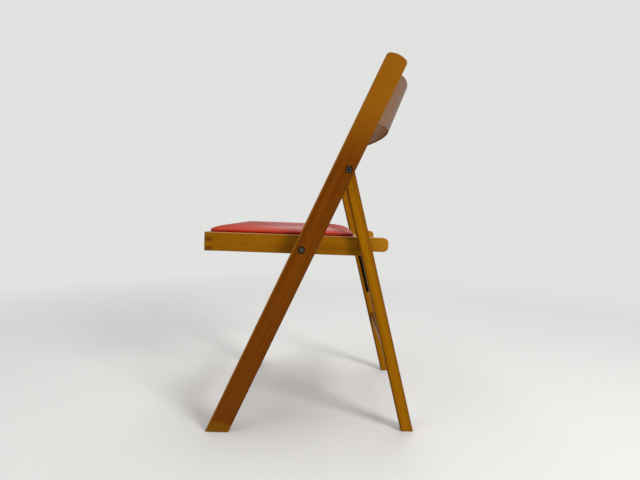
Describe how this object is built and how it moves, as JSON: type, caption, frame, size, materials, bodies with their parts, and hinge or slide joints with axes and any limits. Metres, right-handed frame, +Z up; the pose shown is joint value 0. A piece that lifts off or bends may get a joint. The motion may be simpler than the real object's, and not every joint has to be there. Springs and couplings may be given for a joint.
{
  "type": "folding chair",
  "caption": "Folding chair of lacquered beech with crossed side legs, bent plywood backrest and crowned vinyl seat pad; the seat swings up as the rear legs fold against the main rails.",
  "frame": {"origin": "middle of the chair's floor area, on the floor", "axes": "+Z up, +Y to the back of the chair, +X to the sitter's left"},
  "size_m": [0.444, 0.452, 0.78],
  "materials": {
    "rail_wood": "lacquered",
    "leg_wood": "lacquered",
    "seat_wood": "lacquered",
    "panel_wood": "gloss lacquer",
    "board_wood": "raw plywood",
    "foam": "open-cell foam",
    "vinyl": "glossy coated cloth",
    "steel": "plated",
    "dark_steel": "blackened"
  },
  "bodies": {
    "main_frame": {"left_main_rail": "rail_wood", "right_main_rail": "rail_wood", "backrest_panel": "panel_wood", "front_stretcher": "rail_wood", "upper_pivot_screws": "dark_steel", "upper_pivot_sleeve_nuts": "steel", "upper_pivot_washers": "steel", "seat_pivot_bolts": "steel", "seat_pivot_nuts": "dark_steel", "seat_pivot_washers": "dark_steel", "seat_pivot_spacers": "steel"},
    "rear_leg_frame": {"left_rear_leg": "leg_wood", "right_rear_leg": "leg_wood", "rear_stretcher": "leg_wood"},
    "seat": {"left_seat_rail": "seat_wood", "right_seat_rail": "seat_wood", "seat_front_rail": "seat_wood", "seat_rear_rail": "seat_wood", "seat_rear_dowels": "seat_wood", "seat_corner_blocks": "seat_wood", "seat_board_screws": "steel", "seat_board": "board_wood", "seat_foam": "foam", "seat_cover": "vinyl", "cover_staples": "steel", "slide_pins": "steel"}
  },
  "joints": [
    {"name": "seat_fold", "type": "hinge", "parent": "main_frame", "child": "seat", "pos_m": [0, -0.01482, 0.38479], "axis": [-1, 0, 0], "range_deg": [0, 108.6]},
    {"name": "rear_leg_fold", "type": "hinge", "parent": "main_frame", "child": "rear_leg_frame", "pos_m": [0, 0.07868, 0.54862], "axis": [-1, 0, 0], "range_deg": [0, 37.1]}
  ],
  "couplings": [
    {"joint": "rear_leg_fold", "follows": "seat_fold", "ratio": 0.34143}
  ]
}
